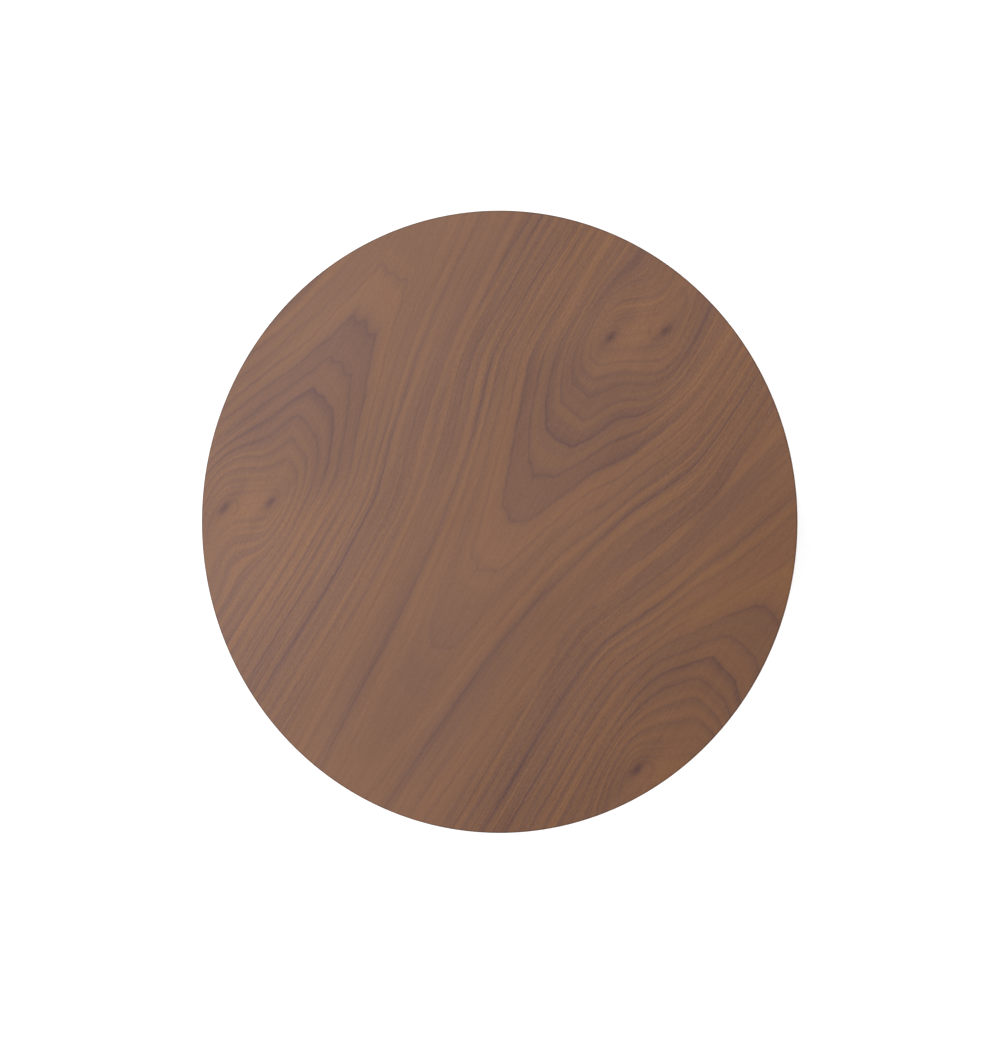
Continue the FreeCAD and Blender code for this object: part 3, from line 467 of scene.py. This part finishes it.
def walnut_face():
    """Crown-cut walnut veneer under satin lacquer."""
    graph = Graph("walnut_face")
    x, y, _ = graph.place()
    x = x / TOP_RADIUS
    y = y / TOP_RADIUS
    along, across = across_the_grain(x, y)
    rings, pace, tip, eye = walnut_field(graph, along, across)
    band = graph.step(pace, 22.0, 30.0)

    line, finer, shade, heartwood = ring_lines(graph, along, across, rings, pace, tip, band)
    ring_tone = ring_streaks(graph, along, rings, band) + 3.7
    ring_tone = ring_tone - line * 11 - finer * 6 - shade * 7 - heartwood * 4.6 - eye * 15
    for middle_x, middle_y, spread, lightness in CLOUDS:
        off = square((x - middle_x) / spread) + square((y - middle_y) / spread)
        ring_tone = ring_tone + exponent(off * -0.7) * lightness

    streak = graph.noise(along * 7, across * 130, 6.5, detail=1)
    pores = graph.noise(along * 75, across * 240, 8.0, detail=1)
    grit = graph.noise(along * 220, across * 420, 9.0, detail=0)
    dashes = graph.step(graph.noise(along * 17, across * 170, 10.0, detail=1), 0.4, 1.0)
    slits = graph.step(graph.noise(along * 50, across * 900, 19.0, detail=1), 0.45, 0.9)
    pore_tone = streak * 2.0 + pores * (band * 1.7 + 2.9) + grit * (band * 0.3 + 2.1)
    pore_tone = pore_tone - dashes * band * 4.5 - slits * (band * 3 + 4) - eye * 3.5

    clouds = graph.noise(along * 1.1, across * 2.2, 7.0, detail=1)
    # Painted light: lighter on the left, towards the left lamp, and darker on the right, with
    # smaller tilts up and across; the noise clouds are the veneer's own tone.
    clouds_and_painted_light = clouds * 2.5 - x * 7.5 + y * 3 + x * y * 5 - square(y) * 2

    # Painted shade: a thin darker ring at the very edge of the face.
    rim = graph.step(root(square(x) + square(y)), RIM_STARTS, RIM_ENDS)
    channels = []
    for base, by_cloud_and_light, by_ring, by_pore in zip(WALNUT, CLOUD_AND_LIGHT_SHIFT, RING_SHIFT, PORE_SHIFT):
        value = clouds_and_painted_light * by_cloud_and_light + ring_tone * by_ring + pore_tone * by_pore + base
        value = value * (1 - rim * RIM_SHADE)
        seen = graph.maths("POWER", (value / 255 + 0.055) / 1.055, 2.4)
        channels.append((seen - GLARE) / LIGHT)
    colour = graph.colour_of(*channels)
    sheen = streak * 0.02 + pores * 0.03 + 0.5
    relief = streak * 0.3 + pores * 0.6 - line * 0.3
    return graph.finish(colour, sheen, height=relief, depth=0.00002, Specular_IOR_Level=0.35)


def straight_walnut(name, dark, light, lie, roughness):
    """Straight-grained walnut; lie gives (along, across, depth, which leaf) from the place."""
    graph = Graph(name)
    along, across, deep, leaf = lie(graph, *graph.place())
    shift = leaf * 3.7
    bent = across + graph.noise(along * 3, across * 5, shift, detail=1) * 0.004

    def grain(stretch, fineness, detail, rough=0.5):
        """Noise drawn out along the grain, different in each leaf."""
        x = bent * fineness
        z = deep * fineness + shift
        return graph.noise(x, along * stretch, z, detail=detail, roughness=rough)

    rings = grain(2.5, 210, 3, 0.65)
    broad = grain(1.2, 60, 1)
    lines = grain(5, 640, 2, 0.7)
    streak = graph.noise(along * 30, across * 1600, deep * 1600 + 4.0)
    holes = graph.noise(along * 90, across * 2600, deep * 2600, detail=1)
    pores = graph.step(holes, 0.45, 0.8)
    shade = graph.chance(leaf + 0.5) - 0.5
    tone = rings * 0.13 + broad * 0.12 + lines * 0.09 + streak * 0.06
    tone = tone - pores * 0.22 + shade * 0.3 + 0.57
    colour = graph.ramp(tone, [(0.0, dark), (1.0, light)])
    relief = streak * 0.3 - pores
    rough = streak * 0.04 + roughness
    return graph.finish(colour, rough, height=relief, depth=0.00004, Specular_IOR_Level=0.3)


# The edge ring is sawn from this many pieces, and the backing laid from leaves this wide.
RIM_PIECES = 8
LEAF_WIDTH = 0.115


def round_the_rim(graph, x, y, z):
    """The grain lies straight in each piece of the edge ring."""
    step = TAU / RIM_PIECES
    which = whole(graph.maths("ARCTAN2", y, x) / step)
    middle = (which + 0.5) * step
    c = graph.maths("COSINE", middle)
    s = graph.maths("SINE", middle)
    return y * c - x * s, x * c + y * s, z, which


def across_the_back(graph, x, y, z):
    """The backing's grain lies with that of the face."""
    along, across = across_the_grain(x, y)
    return along, across, z, whole(across / LEAF_WIDTH)


# ---------------------------------------------------------------- other surfaces

# Size of the soft patches in a finish, in metres.
PATCH = 0.02
# Tool lines: how close they lie along the axis of turning and how close round it.
LINES_ALONG = 3500
LINES_ROUND = 300


def mottled(
    name, dark, light, roughness, metallic=0.0, grain=0.0008, depth=0.00003, wear=None, **more
):
    """Paint, casting, rubber or plastic: soft patches, fine grain and worn edges.

    grain is the grain's size and depth that of its relief, in metres, and wear the colour
    that shows where an edge is rubbed.
    """
    graph = Graph(name)
    place = graph.place()

    def spots(size, **kind):
        return graph.noise(*[along / size for along in place], **kind)

    patches = spots(PATCH, detail=3, roughness=0.6)
    grains = spots(grain)
    specks = graph.step(spots(grain * 3.3, detail=1), 0.9, 1.4)
    colour = graph.ramp(patches * 0.22 + grains * 0.1 + 0.5, [(0.0, dark), (1.0, light)])
    rough = patches * 0.04 + grains * 0.02 + specks * 0.06 + roughness
    if wear:
        rubbed = graph.rubbed(0.0008) * graph.step(patches + grains * 0.4, -0.2, 1.2)
        colour = graph.mix(colour, wear, rubbed * 0.7)
        rough = rough - rubbed * 0.1
    relief = grains + specks * 0.5
    return graph.finish(colour, rough, metallic, relief, depth, ease=0.0004, **more)


def machined(name, dark, light, roughness, axis="z"):
    """Plated or turned metal, its fine tool lines running round one axis."""
    graph = Graph(name)
    x, y, z = graph.place()
    scale = [LINES_ALONG if axis == which else LINES_ROUND for which in "xyz"]
    patches = graph.noise(x * 90, y * 90, z * 90, detail=3, roughness=0.6)
    lines = graph.noise(x * scale[0], y * scale[1], z * scale[2])
    spots = graph.step(graph.noise(x * 420, y * 420, z * 420), 0.8, 1.5)
    rubbed = graph.rubbed(0.0006)
    tone = patches * 0.22 + lines * 0.1 + rubbed * 0.15 + 0.45
    colour = graph.ramp(tone, [(0.0, dark), (1.0, light)])
    rough = patches * 0.05 + lines * 0.03 + spots * 0.14 - rubbed * 0.06 + roughness
    relief = lines + patches
    return graph.finish(colour, rough, metallic=1.0, height=relief, depth=0.000006, ease=0.0003)


def fibreboard():
    """Bare board, seen only where the top is cut into."""
    graph = Graph("core_board")
    x, y, z = graph.place()
    fibres = graph.noise(x * 900, y * 900, z * 2200, detail=3, roughness=0.7)
    flakes = graph.noise(x * 120, y * 120, z * 300)
    stops = [(0.0, (0.22, 0.14, 0.08)), (1.0, (0.44, 0.31, 0.19))]
    colour = graph.ramp(fibres * 0.2 + flakes * 0.15 + 0.5, stops)
    return graph.finish(colour, fibres * 0.04 + 0.85, height=fibres, depth=0.00006)


# Dark and light tone and roughness of bright zinc plate.
ZINC = ((0.40, 0.41, 0.43), (0.62, 0.63, 0.64), 0.33)

MATERIALS = {
    "walnut_face": walnut_face(),
    "walnut_edge": straight_walnut(
        "walnut_edge", (0.058, 0.026, 0.014), (0.150, 0.072, 0.039), round_the_rim, 0.45
    ),
    "backing": straight_walnut(
        "backing", (0.070, 0.033, 0.018), (0.165, 0.083, 0.046), across_the_back, 0.62
    ),
    "core_board": fibreboard(),
    "black_coat": mottled(
        "black_coat",
        (0.009, 0.009, 0.010),
        (0.019, 0.019, 0.021),
        0.44,
        grain=0.0007,
        depth=0.00005,
        wear=(0.07, 0.07, 0.075),
        Specular_IOR_Level=0.35,
    ),
    "cast_alloy": mottled(
        "cast_alloy",
        (0.30, 0.305, 0.31),
        (0.50, 0.505, 0.515),
        0.5,
        metallic=1.0,
        grain=0.0006,
        depth=0.00009,
        wear=(0.66, 0.66, 0.67),
    ),
    "iron": mottled(
        "iron", (0.018, 0.018, 0.02), (0.05, 0.05, 0.053), 0.6, grain=0.0015, depth=0.00015
    ),
    "black_rubber": mottled(
        "black_rubber", (0.012, 0.012, 0.012), (0.034, 0.034, 0.033), 0.78
    ),
    "nylon": mottled(
        "nylon", (0.60, 0.59, 0.54), (0.74, 0.73, 0.68), 0.48, grain=0.0005, depth=0.00001
    ),
    "knob_plastic": mottled(
        "knob_plastic",
        (0.008, 0.008, 0.009),
        (0.018, 0.018, 0.02),
        0.28,
        depth=0.000008,
        wear=(0.05, 0.05, 0.052),
    ),
    "zinc_steel": machined("zinc_steel", *ZINC, axis="z"),
    "zinc_along_x": machined("zinc_along_x", *ZINC, axis="x"),
    "zinc_along_y": machined("zinc_along_y", *ZINC, axis="y"),
    "brass": machined("brass", (0.55, 0.38, 0.14), (0.78, 0.57, 0.26), 0.3),
}

# Steel pieces that were turned about a level axis.
TURNED_ALONG = {
    "latch_bolt": "zinc_along_x",
    "latch_collar": "zinc_along_x",
    "latch_spring": "zinc_along_x",
    "strike_plate": "zinc_along_x",
    "strike_screws": "zinc_along_x",
    "pivot_shaft": "zinc_along_y",
    "retaining_clips": "zinc_along_y",
}


# ---------------------------------------------------------------- turned pieces

ORIGIN = (0, 0, 0)
# Below these a turn counts as none, a point as on the axis, and two points as one.
NO_TURN = 1e-3
ON_AXIS = 1e-6
ONE_POINT = 1e-7


def soften(corners, facets):
    """Rounds the corners of a closed profile.

    Takes (radius, height, rounding) in a run that has the solid on its left, and gives
    (point, outward normal) pairs. A sharp corner gives its point twice.
    """
    rounded = []
    for i, (radius, height, rounding) in enumerate(corners):
        here = Vector((radius, height))
        before = Vector(corners[i - 1][:2])
        after = Vector(corners[(i + 1) % len(corners)][:2])
        into = (here - before).normalized()
        onward = (after - here).normalized()
        normal_in = Vector((into.y, -into.x))
        normal_out = Vector((onward.y, -onward.x))
        turn = math.atan2(into.x * onward.y - into.y * onward.x, into.dot(onward))
        if rounding <= 0 or abs(turn) < NO_TURN:
            rounded += [(here, normal_in), (here, normal_out)]
            continue
        room = min((here - before).length, (after - here).length) * 0.49
        cut = min(rounding * math.tan(abs(turn) / 2), room)
        reach = cut / math.tan(abs(turn) / 2) * (1 if turn > 0 else -1)
        centre = here - into * cut - normal_in * reach
        for k in range(facets + 1):
            angle = turn * k / facets
            c, s = math.cos(angle), math.sin(angle)
            x, y = normal_in
            normal = Vector((x * c - y * s, x * s + y * c))
            rounded.append((centre + normal * reach, normal))
    return rounded


# How a piece spun about Z stands when its axis is another.
STANDS = {
    "Z": Matrix.Identity(4),
    "X": Matrix(((0, 0, 1, 0), (1, 0, 0, 0), (0, 1, 0, 0), (0, 0, 0, 1))),
}


def join_rows(build, ring, rows):
    """Joins the rows of a spun solid by faces, round to the first row again."""
    for i, row in enumerate(rows):
        following = rows[(i + 1) % len(rows)]
        for k in range(len(ring)):
            j = (k + 1) % len(ring)
            if (ring[k][0] - ring[j][0]).length < ONE_POINT:
                continue
            corners = []
            for vert in (row[k], following[k], following[j], row[j]):
                if vert not in corners:
                    corners.append(vert)
            if len(corners) > 2:
                build.faces.new(corners).smooth = True


def spin(build, corners, centre, axis, steps, facets, flute=None):
    """Adds one spun solid to a bmesh and returns its vertex normals in order."""
    ring = soften(corners, facets)
    stand = Matrix.Translation(centre) @ STANDS[axis]
    turn_only = STANDS[axis].to_3x3()
    normals = []
    rows = []
    poles = {}
    for step in range(steps):
        angle = TAU * step / steps
        c, s = math.cos(angle), math.sin(angle)
        row = []
        for k, (point, normal) in enumerate(ring):
            if point.x < ON_AXIS:
                if k not in poles:
                    poles[k] = build.verts.new(stand @ Vector((0, 0, point.y)))
                    normals.append(turn_only @ Vector((0, 0, 1 if normal.y > 0 else -1)))
                row.append(poles[k])
                continue
            radius = point.x - (flute(angle, point.y) if flute else 0)
            row.append(build.verts.new(stand @ Vector((radius * c, radius * s, point.y))))
            normals.append(turn_only @ Vector((normal.x * c, normal.x * s, normal.y)))
        rows.append(row)
    join_rows(build, ring, rows)
    return normals


def turned(name, solids, axis="Z", steps=128, facets=5, flute=None):
    """One piece of one or more spun solids, each (corners, centre).

    flute gives how deep a groove is at an angle and a height, and leaves the shading to
    Blender. Elsewhere the normals are the true ones of the profile.
    """
    build = bmesh.new()
    normals = []
    for corners, centre in solids:
        normals += spin(build, corners, centre, axis, steps, facets, flute)
    mesh = bpy.data.meshes.new(name)
    build.to_mesh(mesh)
    build.free()
    if not flute:
        mesh.normals_split_custom_set_from_vertices([normal[:] for normal in normals])
    return placed(name, mesh)


def placed(name, mesh):
    """Puts a mesh or other data into the scene as an object."""
    made = bpy.data.objects.new(name, mesh)
    bpy.context.scene.collection.objects.link(made)
    return made


def shown(piece, material, body, *nodes, slot=None):
    """Gives a piece its material, its body and the CAD nodes it stands for."""
    piece.data.materials.append(MATERIALS[material])
    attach(piece, body)
    if nodes:
        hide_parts(*nodes)
    return piece


# ---------------------------------------------------------------- pieces

# The profiles below are rows of (radius, height, rounding of the corner).


def top_pieces():
    """The face veneer and the solid ring round the board."""
    low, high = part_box("top_veneer")
    radius = high.x
    disc = [(0, low.z, 0), (radius, low.z, 0), (radius, high.z, 0.3 * MM), (0, high.z, 0)]
    veneer = turned("face_veneer", [(disc, ORIGIN)], steps=360)
    shown(veneer, "walnut_face", "top", "top_veneer")

    low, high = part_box("top_lipping")
    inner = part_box("top_core")[1].x
    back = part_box("backing_veneer")[1].x
    outer = radius - 0.05 * MM
    land = 3.4 * MM
    profile = [
        (inner, low.z, 0),
        (back, low.z, 0.6 * MM),
        (outer, high.z - land, 1.2 * MM),
        (outer, high.z, 0.1 * MM),
        (inner, high.z, 0),
    ]
    edge = turned("edge_ring", [(profile, ORIGIN)], steps=360)
    shown(edge, "walnut_edge", "top", "top_lipping")


def column_pieces():
    """Tube and trim ring."""
    low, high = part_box("column_tube")
    radius = high.x
    inner = radius - 2 * MM
    profile = [
        (inner, low.z, 0.2 * MM),
        (radius, low.z, 0.3 * MM),
        (radius, high.z, 0.4 * MM),
        (inner, high.z, 0.3 * MM),
    ]
    shown(turned("tube", [(profile, ORIGIN)]), "black_coat", "base", "column_tube")

    low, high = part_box("column_collar")
    bore = radius + 0.15 * MM
    foot = low.z + 5 * MM
    waist = low.z + 12 * MM
    profile = [
        (bore, low.z, 0.2 * MM),
        (high.x, low.z, 0.4 * MM),
        (high.x, foot, 1.6 * MM),
        (35 * MM, waist, 9 * MM),
        (32.5 * MM, high.z, 1.0 * MM),
        (bore, high.z, 0.3 * MM),
    ]
    trim = turned("trim_ring", [(profile, ORIGIN)], facets=8)
    shown(trim, "black_coat", "base", "column_collar")


def base_pieces():
    """Spun cover and rubber feet."""
    low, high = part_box("base_cover")
    sheet = 1.5 * MM
    boss = 44 * MM
    hole = 8 * MM
    skirt = 11 * MM
    shoulder = 4 * MM
    profile = [
        (hole, high.z - sheet, 0.2 * MM),
        (boss, high.z - sheet, 0),
        (high.x - shoulder - sheet * 0.45, skirt + shoulder - sheet * 0.95, 3.5 * MM),
        (high.x - sheet, skirt - sheet * 0.4, 3.5 * MM),
        (high.x - sheet, low.z, 0.6 * MM),
        (high.x, low.z, 0.6 * MM),
        (high.x, skirt, 5 * MM),
        (high.x - shoulder, skirt + shoulder, 6 * MM),
        (boss, high.z, 40 * MM),
        (hole, high.z, 0.3 * MM),
    ]
    cover = turned("spun_cover", [(profile, ORIGIN)], steps=256, facets=8)
    shown(cover, "black_coat", "base", "base_cover")

    low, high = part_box("glide_pads")
    radius = 16 * MM
    out = high.x - radius
    bore = 2.6 * MM
    well = 5.2 * MM
    well_top = 3 * MM
    groove = radius - 5 * MM
    groove_top = low.z + 0.5 * MM
    profile = [
        (bore, well_top, 0),
        (well, well_top, 0.2 * MM),
        (well, low.z, 0.5 * MM),
        (groove - 1 * MM, low.z, 0.3 * MM),
        (groove - 0.5 * MM, groove_top, 0.2 * MM),
        (groove + 0.5 * MM, groove_top, 0.2 * MM),
        (groove + 1 * MM, low.z, 0.3 * MM),
        (radius, low.z, 1.2 * MM),
        (radius, high.z, 0.3 * MM),
        (bore, high.z, 0),
    ]
    feet = [(profile, (out * x, out * y, 0)) for x, y in ((1, 0), (0, 1), (-1, 0), (0, -1))]
    pads = turned("rubber_feet", feet, steps=96, facets=4)
    shown(pads, "black_rubber", "base", "glide_pads")


def latch_pieces():
    """Fluted pull knob, turned about X."""
    low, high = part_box("latch_knob")
    centre = (0, 0, (low.z + high.z) / 2)
    radius = (high.z - low.z) / 2
    neck = 7 * MM
    rim = low.x + 9 * MM
    flare = rim + 5 * MM
    bore = 4.05 * MM
    bore_end = high.x - 16 * MM
    profile = [
        (neck + 1 * MM, high.x, 0.5 * MM),
        (neck, high.x - 3 * MM, 3 * MM),
        (neck + 0.5 * MM, flare, 4 * MM),
        (radius, rim, 2.5 * MM),
        (radius, low.x, 2.5 * MM),
        (radius * 0.5, low.x + 0.2 * MM, 3 * MM),
        (0, low.x + 0.4 * MM, 0),
        (0, bore_end, 0),
        (bore, bore_end, 0),
        (bore, high.x, 0.3 * MM),
    ]
    flutes = 14
    flute_depth = 0.9 * MM
    plain = 0.5 * MM
    fade = 1.5 * MM

    def flute(angle, height):
        """Shallow grooves for the fingers, only round the grip."""
        inside = min(height - low.x - plain, rim - plain - height)
        if inside <= 0:
            return 0
        return flute_depth * (0.5 - 0.5 * math.cos(flutes * angle)) * min(1, inside / fade)

    grip = turned("pull_knob", [(profile, centre)], "X", flutes * 12, 8, flute)
    shown(grip, "knob_plastic", "latch", "latch_knob")


def spring_piece():
    """Compression spring with closed end coils."""
    low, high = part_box("latch_spring")
    wire = 0.6 * MM
    mean = (high.z - low.z) / 2 - wire
    centre_z = (low.z + high.z) / 2
    turns = 8
    closed = 1.1
    per_turn = 40
    round_wire = 10
    first = low.x + wire
    last = high.x - wire
    lead = (last - first - 2 * closed * wire * 2) / (turns - 2 * closed)
    build = bmesh.new()
    rows = []
    for step in range(turns * per_turn + 1):
        t = step / per_turn
        shut = min(t, closed) + max(0, t - (turns - closed))
        x = first + shut * wire * 2 + (t - shut) * lead
        angle = TAU * t
        out = Vector((0, math.cos(angle), math.sin(angle)))
        middle = Vector((x, 0, centre_z)) + out * mean
        row = []
        for k in range(round_wire):
            around = TAU * k / round_wire
            offset = out * math.cos(around) + Vector((1, 0, 0)) * math.sin(around)
            row.append(build.verts.new(middle + offset * wire))
        rows.append(row)
    for one, two in zip(rows, rows[1:]):
        for k in range(round_wire):
            j = (k + 1) % round_wire
            build.faces.new((one[k], one[j], two[j], two[k])).smooth = True
    build.faces.new(rows[0][::-1])
    build.faces.new(rows[-1])
    bmesh.ops.recalc_face_normals(build, faces=build.faces)
    mesh = bpy.data.meshes.new("coil_spring")
    build.to_mesh(mesh)
    build.free()
    coil = placed("coil_spring", mesh)
    shown(coil, "zinc_along_x", "latch", "latch_spring", slot="zinc_steel")
    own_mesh(coil)


latch_pieces()
top_pieces()
column_pieces()
base_pieces()
spring_piece()

SLOT_OF = {part["node"]: part["material_slot"] for part in frame["record"]["subparts"]}
for name, node in frame["nodes"].items():
    node.data.materials.clear()
    node.data.materials.append(MATERIALS[TURNED_ALONG.get(name, SLOT_OF[name])])


# ---------------------------------------------------------------- studio


def floor():
    """A wide pale floor."""
    reach = 14.0
    build = bmesh.new()
    ends = ((-reach, -reach, 0), (reach, -reach, 0), (reach, reach, 0), (-reach, reach, 0))
    build.faces.new([build.verts.new(end) for end in ends])
    mesh = bpy.data.meshes.new("studio_floor")
    build.to_mesh(mesh)
    build.free()
    made = placed("studio_floor", mesh)
    graph = Graph("studio_floor")
    x, y, _ = graph.place()
    drift = graph.noise(x * 0.8, y * 0.8)
    stops = [(0.0, (0.86, 0.86, 0.86)), (1.0, (0.9, 0.9, 0.9))]
    mesh.materials.append(graph.finish(graph.ramp(drift * 0.2 + 0.5, stops), 0.9))


def softbox(name, place, aim, width, height, power):
    """A rectangular lamp that the camera doesn't see."""
    data = bpy.data.lights.new(name, "AREA")
    data.shape = "RECTANGLE"
    data.size = width
    data.size_y = height
    data.energy = power
    lamp = placed(name, data)
    lamp.location = place
    lamp.rotation_euler = (Vector(aim) - Vector(place)).to_track_quat("-Z", "Y").to_euler()
    lamp.visible_camera = False


def studio():
    """Floor, even daylight all round and two soft lamps."""
    floor()
    world = bpy.data.worlds.new("studio")
    world.use_nodes = True
    daylight = world.node_tree.nodes["Background"]
    daylight.inputs["Color"].default_value = (1, 1, 1, 1)
    daylight.inputs["Strength"].default_value = 1.2
    bpy.context.scene.world = world
    top = (0, 0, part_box("top_veneer")[1].z)
    softbox("left_window", (-2.0, 0.5, 2.3), top, 1.6, 2.2, 26)
    softbox("right_fill", (2.4, 1.6, 1.3), (0, 0, 0.4), 0.8, 1.8, 12)
    bpy.context.scene.view_settings.view_transform = "Standard"


def camera():
    """Looks down on the level top from a little to the +X side.

    The lean draws the round top as an ellipse, 4.5 per cent higher than wide. From this
    near, the base stays hidden behind the top.
    """
    target = Vector((0, 0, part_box("top_veneer")[1].z))
    distance = 1.45
    lean = math.radians(17.275)
    swing = lean - math.radians(0.689)
    nod = math.radians(-0.026)
    data = bpy.data.cameras.new("camera")
    data.sensor_fit = "HORIZONTAL"
    data.sensor_width = 36
    data.lens = 54.066
    eye = placed("camera", data)
    place = target + Vector((math.sin(lean), 0, math.cos(lean))) * distance
    forward = Vector((-math.sin(swing), 0, -math.cos(swing)))
    upward = Vector((0, 1, 0))
    side = forward.cross(upward)
    forward = forward * math.cos(nod) + upward * math.sin(nod)
    upward = side.cross(forward)
    turn = Matrix((side, upward, -forward)).transposed().to_4x4()
    eye.matrix_world = Matrix.Translation(place) @ turn
    bpy.context.scene.camera = eye


studio()
camera()
